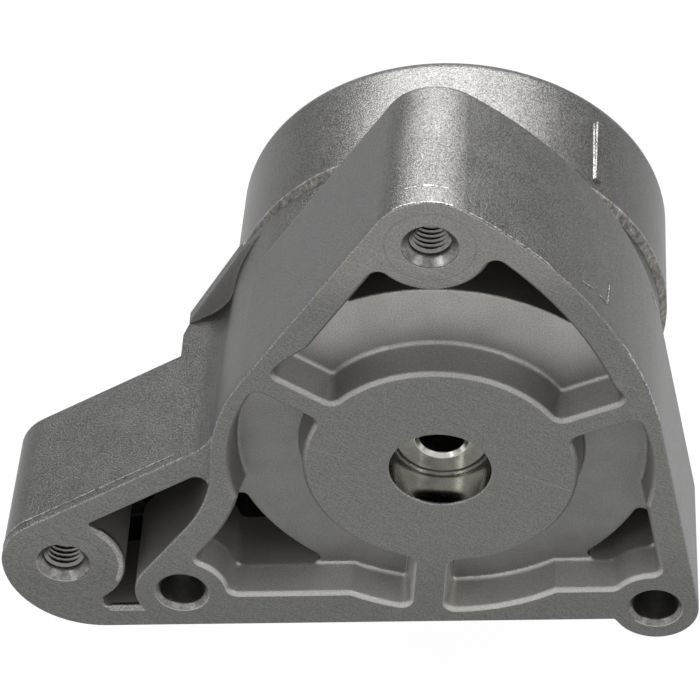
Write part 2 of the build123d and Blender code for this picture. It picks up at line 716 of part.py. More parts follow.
with BuildPart() as bearing_cage:
    with BuildSketch(pulley_plane):
        with Locations((pitch_radius, bearing_middle)):
            Rectangle(cage_wall, cage_width)
    revolve(axis=pulley_axis)
    with Locations(Plane(origin=pulley_middle, x_dir=(1, 0, 0), z_dir=(0, -1, 0))):
        with PolarLocations(pitch_radius, ball_count):
            Box(2 * cage_wall, 2 * (ball_radius + slip), 2 * (ball_radius + slip), mode=Mode.SUBTRACT)
bearing_cage.part.label = "bearing_cage"
export_step(bearing_cage.part, "parts/bearing_cage.step")
for seal_name, seal_front in (("bearing_seal_front", bearing_start + seal_inset),
                              ("bearing_seal_rear", bearing_end - seal_inset - seal_thickness)):
    with BuildPart() as bearing_seal:
        with BuildSketch(at_depth(seal_front)):
            with Locations(pulley_centre):
                Circle(seal_seat_radius - slip)
                Circle(inner_race_radius + seal_gap, mode=Mode.SUBTRACT)
        extrude(amount=-seal_thickness)
    bearing_seal.part.label = seal_name
    export_step(bearing_seal.part, f"parts/{seal_name}.step")

# Stepped spacer that carries the inner ring on the boss of the arm
with BuildPart() as bearing_bush:
    with BuildSketch(at_depth(pulley_boss_rear)):
        with Locations(pulley_centre):
            Circle(bush_shoulder_radius)
    extrude(amount=-bush_shoulder)
    with BuildSketch(at_depth(bearing_start)):
        with Locations(pulley_centre):
            Circle(bearing_bore_radius - slip)
    extrude(amount=-(bearing_width - slip))
    with Locations(hole_place(pulley_centre, pulley_boss_rear)):
        Hole(bolt_radius + slip, depth=bush_shoulder + bearing_width)
bearing_bush.part.label = "bearing_bush"
export_step(bearing_bush.part, "parts/bearing_bush.step")

# Dished shield under the head of the pulley bolt
with BuildPart() as dust_shield:
    with BuildSketch(pulley_plane):
        with BuildLine():
            Polyline((bolt_radius + slip, bearing_end), (inner_race_radius, bearing_end),
                     (inner_race_radius + 2 * shield_dish, bearing_end + shield_dish),
                     (shield_radius, bearing_end + shield_dish),
                     (shield_radius, bearing_end + shield_dish + shield_thickness),
                     (inner_race_radius + 2 * shield_dish - shield_thickness / 2,
                      bearing_end + shield_dish + shield_thickness),
                     (inner_race_radius - shield_thickness / 2, bolt_seat),
                     (bolt_radius + slip, bolt_seat), (bolt_radius + slip, bearing_end))
        make_face()
    revolve(axis=pulley_axis)
dust_shield.part.label = "dust_shield"
export_step(dust_shield.part, "parts/dust_shield.step")

# Flanged hexagon bolt that clamps the bearing to the arm
with BuildPart() as pulley_bolt:
    with BuildSketch(at_depth(bolt_seat - bolt_grip)):
        with Locations(pulley_centre):
            Circle(bolt_radius)
    extrude(amount=-bolt_grip)
    chamfer(pulley_bolt.faces().sort_by(Axis.Y)[0].edges(), length=pivot_chamfer)
    with BuildSketch(at_depth(bolt_seat)):
        with Locations(pulley_centre):
            Circle(bolt_flange_radius)
    extrude(amount=-bolt_flange)
    with BuildSketch(at_depth(bolt_seat + bolt_flange)):
        with Locations(pulley_centre):
            RegularPolygon(radius=bolt_hex / 2, side_count=6, major_radius=False)
    extrude(amount=-bolt_head)
    chamfer(pulley_bolt.faces().sort_by(Axis.Y)[-1].edges(), length=bolt_chamfer)
pulley_bolt.part.label = "pulley_bolt"
export_step(pulley_bolt.part, "parts/pulley_bolt.step")
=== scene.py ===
import math

import bmesh
import bpy
import numpy as np
from mathutils import Matrix, Vector


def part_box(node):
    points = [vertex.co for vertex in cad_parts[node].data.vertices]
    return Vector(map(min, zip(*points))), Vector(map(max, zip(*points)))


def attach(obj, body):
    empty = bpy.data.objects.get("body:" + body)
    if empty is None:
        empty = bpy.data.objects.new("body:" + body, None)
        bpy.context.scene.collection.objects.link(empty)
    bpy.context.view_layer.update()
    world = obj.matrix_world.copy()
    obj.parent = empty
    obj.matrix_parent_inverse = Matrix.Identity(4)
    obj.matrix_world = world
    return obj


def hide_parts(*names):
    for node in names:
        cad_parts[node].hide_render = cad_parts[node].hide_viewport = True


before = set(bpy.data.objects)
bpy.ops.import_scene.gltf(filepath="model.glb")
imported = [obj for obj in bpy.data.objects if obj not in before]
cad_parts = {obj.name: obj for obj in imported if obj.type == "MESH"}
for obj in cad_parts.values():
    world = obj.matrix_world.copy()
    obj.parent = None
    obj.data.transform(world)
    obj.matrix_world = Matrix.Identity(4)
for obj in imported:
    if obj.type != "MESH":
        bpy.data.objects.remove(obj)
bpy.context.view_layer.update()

# The camera stands in front of the mounting face and looks down on it, as the photograph was taken:
# a long lens about a metre away.
right, up, back = (0.99499, 0.05583, -0.08297), (0.01766, 0.71852, 0.69528), (0.09843, -0.69326, 0.71393)
camera_place = (0.08146, -0.67755, 0.73153)
lens_length = 265.3
sensor_width = 36
camera_data = bpy.data.cameras.new("camera")
camera = bpy.data.objects.new("camera", camera_data)
bpy.context.scene.collection.objects.link(camera)
turn = Matrix((right, up, back)).transposed().to_4x4()
camera.matrix_world = Matrix.Translation(camera_place) @ turn
camera_data.sensor_width = sensor_width
camera_data.lens = lens_length
camera_data.clip_start = 0.05
camera_data.clip_end = 50
bpy.context.scene.camera = camera
bpy.context.scene.view_settings.view_transform = "Standard"


class Shade:
    """A socket of a material's nodes. Arithmetic on it adds the Math nodes that work it out."""

    def __init__(self, tree, socket):
        self.tree, self.socket = tree, socket

    def node(self, kind, settings, sockets, output=0):
        """Adds a node of that kind. Its settings come first, then the values or links of its sockets."""
        made = self.tree.nodes.new(kind)
        for name, value in settings.items():
            setattr(made, name, value)
        for name, value in sockets.items():
            if isinstance(value, Shade):
                self.tree.links.new(value.socket, made.inputs[name])
            else:
                made.inputs[name].default_value = value
        return Shade(self.tree, made.outputs[output])

    def maths(self, operation, first, second):
        return self.node("ShaderNodeMath", {"operation": operation}, {0: first, 1: second})

    def __add__(self, other):
        return self.maths("ADD", self, other)

    def __sub__(self, other):
        return self.maths("SUBTRACT", self, other)

    def __rsub__(self, other):
        return self.maths("SUBTRACT", other, self)

    def __mul__(self, other):
        return self.maths("MULTIPLY", self, other)

    def __lt__(self, other):
        return self.maths("LESS_THAN", self, other)

    def __gt__(self, other):
        return self.maths("GREATER_THAN", self, other)

    def __or__(self, other):
        return self.maths("MAXIMUM", self, other)

    def __abs__(self):
        return self.maths("ABSOLUTE", self, 0)

    __radd__, __rmul__, __ror__ = __add__, __mul__, __or__

    def rise(self, low, high):
        """0 below low, 1 above high, and a smooth rise between them; it falls if low is above high."""
        settings = {"interpolation_type": "SMOOTHSTEP"}
        sockets = {"Value": self, "From Min": low, "From Max": high}
        return self.node("ShaderNodeMapRange", settings, sockets)

    def blend(self, colour, other):
        """The first colour where this is 0 and the other where it is 1."""
        settings = {"data_type": "RGBA", "clamp_factor": True}
        factor, first, second, colour_output = 0, 6, 7, 2
        sockets = {factor: self, first: rgba(colour), second: rgba(other)}
        return self.node("ShaderNodeMix", settings, sockets, colour_output)

    def noise(self, scale, detail=2.0, roughness=0.5, stretch=(1, 1, 1), turn=(0, 0, 0)):
        """Cloudy noise from 0 to 1 on this vector, after it is turned and then stretched."""
        turned = self.node("ShaderNodeMapping", {"vector_type": "TEXTURE"},
                           {"Vector": self, "Rotation": turn})
        spread = self.node("ShaderNodeVectorMath", {"operation": "MULTIPLY"}, {0: turned, 1: stretch})
        sockets = {"Vector": spread, "Scale": scale, "Detail": detail, "Roughness": roughness}
        return self.node("ShaderNodeTexNoise", {}, sockets)


def rgba(colour):
    """A colour of three numbers with its alpha, or a link as it is."""
    return colour if isinstance(colour, Shade) else (*colour, 1)


def new_material(name):
    """A material with one Principled shader, and its Object coordinates as the start of its patterns."""
    material = bpy.data.materials.new(name)
    material.use_nodes = True
    tree = material.node_tree
    place = Shade(tree, tree.nodes.new("ShaderNodeTexCoord").outputs["Object"])
    return material, place, tree.nodes["Principled BSDF"]


def finish_with(shader, place, sockets):
    """Gives the Principled shader its values and links."""
    for name, value in sockets.items():
        if isinstance(value, Shade):
            place.tree.links.new(value.socket, shader.inputs[name])
        else:
            shader.inputs[name].default_value = value


def axes(place):
    """The three coordinates of a vector."""
    return [place.node("ShaderNodeSeparateXYZ", {}, {0: place}, output) for output in range(3)]


def rounded(place, radius):
    """A normal that turns smoothly over edges, as if they had a small round."""
    return place.node("ShaderNodeBevel", {"samples": 4}, {"Radius": radius})


def bumped(place, height, distance, normal):
    """A normal bent by a height in that distance."""
    return place.node("ShaderNodeBump", {}, {"Height": height, "Distance": distance, "Normal": normal})


# The studio: an endless white table, a broad softbox behind and above the part, a pair of weaker ones
# beside the camera and one at the right. What the camera and the metal see of the room is plain white.
floor_gap = 0.0005
floor_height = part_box("pulley")[0].z - floor_gap
world = bpy.data.worlds.new("room")
bpy.context.scene.world = world
world.use_nodes = True
room = Shade(world.node_tree, world.node_tree.nodes.new("ShaderNodeLightPath").outputs["Is Camera Ray"])
seen = room.node("ShaderNodeLightPath", {}, {}, "Is Glossy Ray") | room
seen = seen | room.node("ShaderNodeLightPath", {}, {}, "Is Transmission Ray")
room_light = 0.5
world_shader = world.node_tree.nodes["Background"]
world_shader.inputs["Color"].default_value = (1, 1, 1, 1)
world.node_tree.links.new((seen * (1 - room_light) + room_light).socket, world_shader.inputs["Strength"])

floor_data = bpy.data.meshes.new("floor")
floor_size = 6.0
corners = [(x * floor_size, y * floor_size, floor_height) for x, y in ((-1, -1), (1, -1), (1, 1), (-1, 1))]
floor_data.from_pydata(corners, [], [(0, 1, 2, 3)])
floor = bpy.data.objects.new("floor", floor_data)
bpy.context.scene.collection.objects.link(floor)
floor_material, place, shader = new_material("pale_floor")
pale = 0.86
finish_with(shader, place, {"Base Color": rgba((pale, pale, pale)), "Roughness": 0.9})
tree = floor_material.node_tree
camera_ray, glossy_ray = (place.node("ShaderNodeLightPath", {}, {}, ray)
                          for ray in ("Is Camera Ray", "Is Glossy Ray"))
glow = place.node("ShaderNodeEmission", {}, {})
white_share = 0.98
shown = place.node("ShaderNodeMixShader", {}, {0: (camera_ray | glossy_ray) * white_share,
                                               1: Shade(tree, shader.outputs[0]), 2: glow})
tree.links.new(shown.socket, tree.nodes["Material Output"].inputs["Surface"])
floor_data.materials.append(floor_material)

middle = Vector((-0.01, 0.03, 0.0))
for name, direction, distance, size, power in (
        ("top_softbox", (0.08, 0.64, 0.76), 1.2, (1.7, 0.5), 49),
        ("front_left_softbox", (-0.55, -0.55, 0.7), 1.5, (0.45, 0.45), 3.5),
        ("front_right_softbox", (0.72, -0.5, 0.65), 1.5, (0.45, 0.45), 3.5),
        ("right_softbox", (0.9, 0.35, -0.25), 1.3, (0.4, 0.9), 5)):
    lamp_data = bpy.data.lights.new(name, "AREA")
    lamp_data.shape = "RECTANGLE"
    lamp_data.size, lamp_data.size_y = size
    lamp_data.energy = power
    lamp = bpy.data.objects.new(name, lamp_data)
    bpy.context.scene.collection.objects.link(lamp)
    away = Vector(direction).normalized()
    facing = away.to_track_quat("Z", "Y").to_matrix().to_4x4()
    lamp.matrix_world = Matrix.Translation(middle + away * distance) @ facing


# Base casting: die-cast aluminium. The walls keep the grained skin of the die, and the mounting land,
# the hub and the lug face are milled to a fine dull grey, with painted shade low down and painted light at
# the top. The pockets and the recess are painted lighter inside, a painted light against their shade, and
# the edges are brightened by wear and by painted highlight.
def layered(mask, under, over):
    """One finish over another where the mask is 1. A finish is a colour, a roughness and a height."""
    return (mask.blend(under[0], over[0]), under[1] + (over[1] - under[1]) * mask,
            under[2] + (over[2] - under[2]) * mask)


def tinted(shade, colour, spread):
    """A colour that goes from darker to lighter by its spread as the shade goes from 0 to 1."""
    return shade.blend([part * (1 - spread) for part in colour], [part * (1 + spread) for part in colour])


def from_axis(place, centre):
    """Distance from an axis along Y through a point (x, z), in metres."""
    flat = place.node("ShaderNodeVectorMath", {"operation": "MULTIPLY"}, {0: place, 1: (1, 0, 1)})
    return place.node("ShaderNodeVectorMath", {"operation": "DISTANCE"},
                      {0: flat, 1: (centre[0], 0, centre[1])}, "Value")


def edge_mask(soft_normal):
    """0 on a flat face, and up to 1 on an edge, by how far a rounded normal leans from the true one."""
    true_normal = soft_normal.node("ShaderNodeNewGeometry", {}, {}, "True Normal")
    likeness = soft_normal.node("ShaderNodeVectorMath", {"operation": "DOT_PRODUCT"},
                                {0: soft_normal, 1: true_normal}, "Value")
    return (1 - likeness).rise(0.01, 0.25)


def cast_skin(place, colour):
    """The skin that the die leaves: a fine grain, darker clouds and drawn streaks along Y, and painted
    glints, small bright specks.
    """
    cloud = place.noise(150, 4, 0.65)
    grain = place.noise(2400, 2, 0.7)
    speck = place.noise(5000, 1, 0.5)
    streak = place.noise(700, 2, 0.6, stretch=(1, 0.15, 1))
    # Painted glints: small bright specks of painted highlight
    glint = place.noise(1300, 1, 0.5).rise(0.77, 0.82)
    shade = (grain.rise(0.42, 0.58) * 0.4 + cloud.rise(0.3, 0.7) * 0.15 + speck.rise(0.4, 0.6) * 0.4
             + streak.rise(0.3, 0.7) * 0.05 + glint * 3.0)
    roughness = 0.37 + (cloud - 0.5) * 0.12 + (grain - 0.5) * 0.2
    height = grain * 2.2 + speck * 1.8 + streak * 0.2 + cloud * 1.5
    return tinted(shade, colour, 0.65), roughness, height


def milled(place, colour, angle):
    """A milled face: long fine lines at an angle, and a little grain."""
    grain = place.noise(2400, 2, 0.7)
    lines = place.noise(1, 2, 0.6, stretch=(300, 300, 5200), turn=(0, math.radians(angle), 0))
    scratch_angle = math.radians(angle - 9)
    scratch = place.noise(1, 1, 0.5, stretch=(16, 16, 1600), turn=(0, scratch_angle, 0)).rise(0.7, 0.75)
    shade = grain.rise(0.35, 0.65) * 0.6 + lines.rise(0.35, 0.65) * 0.4 + scratch * 0.5
    return tinted(shade, colour, 0.3), 0.46 + (lines - 0.5) * 0.2, lines * 0.5 + grain * 0.3


def give(material, soft_normal, shader, finish, depth, metallic=1.0):
    """Links a finish to the shader, with its height as a bump over softly rounded edges."""
    normal = bumped(soft_normal, finish[2], depth, soft_normal)
    finish_with(shader, soft_normal, {"Base Color": finish[0], "Roughness": finish[1],
                                      "Metallic": metallic, "Normal": normal})
    return material


def dress(node, material):
    """Gives a CAD node its material."""
    node_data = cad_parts[node].data
    node_data.materials.clear()
    node_data.materials.append(material)


top_hole, lug_hole = (0.0024, 0.0607), (-0.0775, -0.0278)
left_hole, right_hole = (-0.0542, -0.0349), (0.04, -0.0415)
lug_depth, recess_depth = 0.002, 0.0075
lug_angle = 30.4
plane_room = 0.0001
material, place, shader = new_material("base_casting")
soft_normal = rounded(place, 0.0008)
across, deep, high = axes(place)
skin_colour = (0.079, 0.078, 0.076)
finish = cast_skin(place, skin_colour)
true_normal = place.node("ShaderNodeNewGeometry", {}, {}, "True Normal")
normal_back, normal_up = axes(true_normal)[1:]
front_limit, round_limit = -0.9, -0.2
front = normal_back < front_limit
flat = front * (deep < lug_depth + plane_room)
# Painted light: walls inside the pockets and the recess are painted brighter against their shade, and
# brighter still low down. They face the axis, or lie within the recess wall, or between the edges of the
# lug's pocket.
outwards = place.node("ShaderNodeVectorMath", {"operation": "DOT_PRODUCT"},
                      {0: true_normal, 1: place}, "Value")
lug_lean = math.radians(lug_angle)
lug_across = (across - lug_hole[0]) * -math.sin(lug_lean) + (high - lug_hole[1]) * math.cos(lug_lean)
pocket_left, pocket_right, pocket_foot, pocket_top = -0.0715, -0.0425, -0.0435, 0.009
in_pocket = (across > pocket_left) * (across < pocket_right) * (high > pocket_foot)
in_pocket = (lug_across < pocket_top) * in_pocket
turned_in, recess_radius, bright_reach = -0.002, 0.0423, 0.02
walls_painted_light = ((outwards < turned_in) | (from_axis(place, (0, 0)) < recess_radius) | in_pocket) * (1 - flat)
walls_painted_light = walls_painted_light * (deep < bright_reach)
fine_mottle = place.noise(3600, 2, 0.7)
patch = place.noise(130, 3, 0.5)
near_foot = high.rise(-0.012, -0.034)
wall_painted_light_colour = near_foot.blend((0.3, 0.292, 0.28), (0.5, 0.487, 0.465))
# Painted shade on the rounds along their edges: they are painted darker, least where they lean upwards
edge_round = normal_back < round_limit
painted_light_upward = normal_up.rise(-0.1, 0.35) * (0.5 - near_foot * 0.22)
wall_painted_shade = (fine_mottle + 0.5) * (1 - edge_round * (0.5 - painted_light_upward))
wall_painted_light_colour = place.node("ShaderNodeVectorMath", {"operation": "SCALE"},
                         {0: wall_painted_light_colour, "Scale": wall_painted_shade})
finish = layered(walls_painted_light, finish, (wall_painted_light_colour, 0.5, fine_mottle))
# Painted light: the recess floor is painted lighter against its shade, lightest towards the top
floor_mask = front * (deep > lug_depth + plane_room) * (deep < recess_depth + plane_room)
recess_floor_painted_light = high.rise(0.006, 0.034).blend((0.178, 0.178, 0.167), (0.35, 0.338, 0.322))
mottle = fine_mottle.rise(0.36, 0.64) * 0.34 + patch.rise(0.3, 0.7) * 0.14 + 0.76
recess_floor_painted_light = place.node("ShaderNodeVectorMath", {"operation": "SCALE"}, {0: recess_floor_painted_light, "Scale": mottle})
finish = layered(floor_mask, finish, (recess_floor_painted_light, 0.5, fine_mottle))
# Painted light and shade: the milled face is painted darker low down and lighter over the top boss
milled_colour_and_painted_light = high.rise(-0.036, -0.018).blend((0.14, 0.14, 0.132), (0.163, 0.164, 0.154))
milled_colour_and_painted_light = high.rise(0.044, 0.056).blend(milled_colour_and_painted_light, (0.225, 0.217, 0.205))
face = milled(place, (1, 1, 1), 36)
milled_colour_and_painted_light = place.node("ShaderNodeVectorMath", {"operation": "MULTIPLY"}, {0: milled_colour_and_painted_light, 1: face[0]})
finish = layered(flat, finish, (milled_colour_and_painted_light, face[1], face[2]))
# A faint dark ring that the cutter left round each tapped hole
ring_radius, ring_half, ring_share = 0.0086, 0.0001, 0.3
for hole in (top_hole, lug_hole):
    ring = (abs(from_axis(place, hole) - ring_radius) - ring_half).rise(0.00012, -0.0001)
    finish = layered(ring * flat * ring_share, finish, ((0.07, 0.07, 0.066), 0.5, 0.0))
# Wear and painted highlight on the edges: they are painted bright, most where they lean upwards
chips = place.noise(2600, 2, 0.7)
painted_light_from_above = axes(soft_normal)[2].rise(-0.1, 0.35) * 0.75 + 0.25
rub_and_highlight_reach = 0.011
rub_and_painted_highlight = edge_mask(soft_normal) * chips.rise(0.38, 0.64) * (deep < rub_and_highlight_reach) * painted_light_from_above
finish = layered(rub_and_painted_highlight, finish, ((0.58, 0.566, 0.547), 0.36, chips))
# The web behind the flank stands in a corner and is dull, so it scatters light more than it mirrors;
# it is also painted lighter, a painted light against the shade of the corner
web_depth = 0.036
web_painted_light = front * (deep > web_depth)
finish = layered(web_painted_light, finish, (tinted(fine_mottle, (0.2, 0.196, 0.19), 0.4), 0.6, fine_mottle))
cone_radius, cone_depth, hole_radius, hole_depth = 0.0058, 0.0016, 0.0047, 0.0242
tool_marks = place.noise(700, 4, 0.75)
for hole, face_depth in ((top_hole, 0), (lug_hole, lug_depth), (left_hole, 0), (right_hole, 0)):
    away = from_axis(place, hole)
    wall = (away < hole_radius) * (deep > face_depth + cone_depth) * (deep < face_depth + hole_depth)
    finish = layered(wall, finish, (tinted(tool_marks, (0.3, 0.295, 0.28), 0.5), 0.35, tool_marks))
    cone = (away < cone_radius) * (deep > face_depth + plane_room) * (deep < face_depth + cone_depth)
    finish = layered(cone, finish, (tinted(tool_marks.rise(0.3, 0.7), (0.2, 0.196, 0.185), 0.4), 0.3,
                                    tool_marks * 0.5))
bore_radius, bore_depth = 0.0102, 0.0081
bore = (from_axis(place, (0, 0)) < bore_radius) * (deep < bore_depth) * (deep > plane_room)
smear = place.noise(260, 3, 0.6)
finish = layered(bore, finish, (tinted(smear, (0.28, 0.277, 0.25), 0.5), 0.13, 0.0))
base_bump, web_dullness = 0.000045, 0.9
dress("base_housing", give(material, soft_normal, shader, finish, base_bump, 1 - web_painted_light * web_dullness))


# Threads of the two tapped holes: an M8 thread cut in the casting, which shows as bright turns
# between the major radius of the hole and the minor radius.
def surface(name, grid, around=False):
    """A mesh over a grid of points, rows by columns, with the last column joined to the first if around.

    Points that fall together, such as a row drawn to one point, are merged, which closes the ends.
    """
    rows, columns = grid.shape[:2]
    place_of = np.arange(rows * columns).reshape(rows, columns)
    if around:
        place_of = np.concatenate([place_of, place_of[:, :1]], axis=1)
    faces = np.stack([place_of[:-1, :-1], place_of[:-1, 1:], place_of[1:, 1:], place_of[1:, :-1]], axis=-1)
    mesh = bpy.data.meshes.new(name)
    mesh.from_pydata(grid.reshape(-1, 3).tolist(), [], faces.reshape(-1, 4).tolist())
    shape = bmesh.new()
    shape.from_mesh(mesh)
    bmesh.ops.remove_doubles(shape, verts=shape.verts, dist=1e-7)
    bmesh.ops.recalc_face_normals(shape, faces=shape.faces)
    for face in shape.faces:
        face.smooth = True
    shape.to_mesh(mesh)
    shape.free()
    piece = bpy.data.objects.new(name, mesh)
    bpy.context.scene.collection.objects.link(piece)
    return piece


def thread(name, centre, start, length, pitch, major, minor):
    """A ridge with sloping sides wound along Y inside a hole.

    The profile has four corners: two on the wall, a little inside the metal, and two at the crest. It
    is carried round the axis while the depth grows by one pitch a turn, and shrinks to a point at
    both ends.
    """
    turns, steps_a_turn, fade_angle = length / pitch, 48, np.pi / 2
    angle = np.linspace(0, 2 * np.pi * turns, int(turns * steps_a_turn))[:, None]
    fade = np.clip(np.minimum(angle, angle[-1] - angle) / fade_angle, 0, 1)
    crest, root = pitch * 0.03, pitch * 0.38
    wall = major * 1.01
    radius = np.array([wall, minor, minor, wall])
    offset = np.array([-root, -crest, crest, root])
    radius = wall + (radius - wall) * fade
    depth = start + angle / (2 * np.pi) * pitch + offset * fade
    grid = np.stack([centre[0] + radius * np.cos(angle), depth, centre[1] + radius * np.sin(angle)], axis=-1)
    piece = surface(name, grid, around=True)
    for face in piece.data.polygons:
        face.use_smooth = False
    return piece


thread_material, place, shader = new_material("cut_thread")
cut = place.noise(1500, 2, 0.6)
finish = (tinted(cut, (0.2, 0.196, 0.188), 0.3), 0.22, cut)
give(thread_material, rounded(place, 0.0001), shader, finish, 0.00002)
thread_start, thread_length, thread_pitch = 0.002, 0.0205, 0.00125
major_radius, minor_radius = 0.004, 0.00335
for name, hole, face_depth in (("top_thread", top_hole, 0), ("lug_thread", lug_hole, lug_depth)):
    turns = thread(name, hole, face_depth + thread_start, thread_length, thread_pitch, major_radius,
                   minor_radius)
    turns.data.materials.append(thread_material)
    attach(turns, "base")


# Parting flash: a thin raised line that the die left just behind the milled face, along the top of
# the lug, in short dashes over the top boss and on the edge of the right flank, which also has nicks.
def flash(name, points, width, height, outward):
    """A low ridge along a line of points: at each point a ridge of five corners, from the wall out.

    The corners stand across the line, along Y and outwards, and shrink to a point at both ends.
    """
    run = np.linspace(0, 1, len(points))[:, None]
    fade_share = 0.06
    fade = np.clip(np.minimum(run, 1 - run) / fade_share, 0, 1)
    uneven = 0.75 + 0.25 * np.sin(run * 61) * np.sin(run * 23 + 1)
    along_depth = np.array([-1.0, -0.35, 0.35, 1.0, 0.0]) * width / 2
    proud = np.array([-0.4, 1.0, 1.0, -0.4, -0.6]) * height
    offset = outward[:, None, :] * (proud * uneven * fade)[..., None]
    grid = points[:, None, :] + offset
    grid[..., 1] += along_depth * fade
    return surface(name, grid, around=True)


def wall_line(path, depth, start_depth, draft_angle):
    """Points of an outline moved back to one depth, or each to its own, and inwards by the draft.

    Their outward normals come with them: the run of the outline, turned a quarter turn.
    """
    run = np.gradient(path, axis=0)
    run /= np.linalg.norm(run, axis=1)[:, None]
    normal = np.stack([-run[:, 1], run[:, 0]], axis=1)
    depth = np.full(len(path), depth)
    inner = path - normal * ((depth - start_depth) * math.tan(draft_angle))[:, None]
    points = np.stack([inner[:, 0], depth, inner[:, 1]], axis=1)
    return points, np.stack([normal[:, 0], np.zeros(len(path)), normal[:, 1]], axis=1)


def round_line(centre, radius, first, last, count):
    """Points of a circle from one angle to another, in degrees from +X towards +Z."""
    angle = np.radians(np.linspace(first, last, count))
    return np.stack([centre[0] + radius * np.cos(angle), centre[1] + radius * np.sin(angle)], axis=1)


draft_angle = math.radians(2.0)
lug_radius, lug_flash_depth, lug_flash_width, lug_ridge = 0.0123, 0.0040, 0.00035, 0.00016
corner = round_line(lug_hole, lug_radius, 176, lug_angle + 90, 30)
along_lug = np.array([math.cos(lug_lean), math.sin(lug_lean)])
run_start, run_end, run_steps = 0.0005, 0.0385, 120
top_run = corner[-1] + np.linspace(run_start, run_end, run_steps)[:, None] * along_lug
outline = np.concatenate([corner, top_run])
points, outward = wall_line(outline, lug_flash_depth, lug_depth, draft_angle)
ridges = [flash("lug_flash", points, lug_flash_width, lug_ridge, outward)]
boss_radius, boss_ridge = 0.0115, 0.00018
for number, (first, last, depth, width) in enumerate((
        (112, 97, 0.0047, 0.0005), (94, 80, 0.0047, 0.0008), (76, 68, 0.0047, 0.0005),
        (124, 98, 0.0003, 0.0005), (96, 62, 0.0003, 0.0007))):
    path = round_line(top_hole, boss_radius, first, last, 40)
    points, outward = wall_line(path, depth, 0.0, draft_angle)
    ridges.append(flash(f"boss_flash_{number + 1}", points, width, boss_ridge, outward))
flank_bulge, bulge_radius = (-0.046009, -0.001097), 0.09
burr_depth, burr_ridge = 0.0003, 0.00025
for number, (first, last, width) in enumerate(((52, 38, 0.0004), (23, 7, 0.0007))):
    path = round_line(flank_bulge, bulge_radius, first, last, 90)
    points, outward = wall_line(path, burr_depth, 0.0, draft_angle)
    ridges.append(flash(f"flank_burr_{number + 1}", points, width, burr_ridge, outward))
nick_steps, nick_width, nick_ridge = 24, 0.0003, 0.00012
for number, (first, last, deep_first, deep_last) in enumerate((
        (32.5, 30.0, 0.0039, 0.0051), (28.6, 26.7, 0.0053, 0.0053), (26.8, 26.2, 0.0055, 0.0123),
        (11.3, 8.4, 0.0312, 0.0307))):
    path = round_line(flank_bulge, bulge_radius, first, last, nick_steps)
    points, outward = wall_line(path, np.linspace(deep_first, deep_last, nick_steps), lug_depth, draft_angle)
    ridges.append(flash(f"flank_nick_{number + 1}", points, nick_width, nick_ridge, outward))
flash_material, place, shader = new_material("flash_line")
ragged = place.noise(1400, 3, 0.7)
finish = (tinted(ragged.rise(0.3, 0.7), (0.28, 0.275, 0.265), 0.8), 0.34, ragged)
give(flash_material, rounded(place, 0.0001), shader, finish, 0.00005)
for ridge in ridges:
    ridge.data.materials.append(flash_material)
    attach(ridge, "base")


# Rounded lips of the lug pocket: the die left a soft round where its wall runs into the lug face, on
# the side of the boss and along the foot of the pocket.
def bead(name, path, depth, radius, inset):
    """A bar of round section along an outline, sunk so far into the corner that only its round shows.

    Its middle lies inset behind the face and the wall, and its radius shrinks to 0 at both ends.
    """
    points, outward = wall_line(path, depth + inset, depth, 0)
    run = np.linspace(0, 1, len(points))[:, None]
    fade_share, sides = 0.2, 20
    size = radius * np.sqrt(np.clip(np.minimum(run, 1 - run) / fade_share, 0, 1))
    spin = np.linspace(0, 2 * np.pi, sides, endpoint=False)
    grid = points[:, None, :] + outward[:, None, :] * (size * np.cos(spin) - inset)[..., None]
    grid[..., 1] += size * np.sin(spin)
    return surface(name, grid, around=True)


foot_start, foot_end, foot_height, foot_steps, lip_radius = -0.0712, -0.0608, -0.0413, 40, 0.0009
foot_path = np.stack([np.linspace(foot_start, foot_end, foot_steps), np.full(foot_steps, foot_height)],
                     axis=1)
boss_path = round_line(lug_hole, lug_radius, 64, -45, 60)
lips = [bead("pocket_lip_foot", foot_path, lug_depth, lip_radius, 0.00072),
        bead("pocket_lip_boss", boss_path, lug_depth, lip_radius, 0.00074)]
lip_material, place, shader = new_material("lip_casting")
fine = place.noise(2600, 2, 0.7)
finish = (tinted(fine.rise(0.3, 0.7), (0.27, 0.265, 0.255), 0.4), 0.36, fine)
give(lip_material, rounded(place, 0.0001), shader, finish, 0.00004)
for lip in lips:
    lip.data.materials.append(lip_material)
    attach(lip, "base")


# Arm casting: the drum over the spring cup, the beam and the pulley seat, cast as the base is. Its
# rim is trimmed, which leaves bright flecks, and the pulley seat is milled.
material, place, shader = new_material("arm_casting")
soft_normal = rounded(place, 0.0006)
deep = axes(place)[1]
finish = cast_skin(place, skin_colour)
seat_depth = 0.075
finish = layered(abs(deep - seat_depth) < plane_room, finish, milled(place, (0.2, 0.2, 0.19), 20))
rim_start, rim_end = 0.0432, 0.0455
rim = (deep > rim_start) * (deep < rim_end)
flecks = place.noise(900, 3, 0.8, stretch=(1, 0.5, 1))
# Wear and painted highlight: the edges are painted brighter, and the trimmed rim carries bright flecks
rub_and_painted_highlight = (edge_mask(soft_normal) * flecks.rise(0.3, 0.65) * 0.7) | (rim * flecks.rise(0.6, 0.72))
finish = layered(rim, finish, (tinted(flecks.rise(0.3, 0.7), (0.12, 0.112, 0.102), 0.6), 0.5, flecks))
finish = layered(rub_and_painted_highlight, finish, ((0.3, 0.29, 0.28), 0.34, flecks))
arm_bump, rim_dullness = 0.000016, 0.7
dress("tensioner_arm", give(material, soft_normal, shader, finish, arm_bump, 1 - rim * rim_dullness))


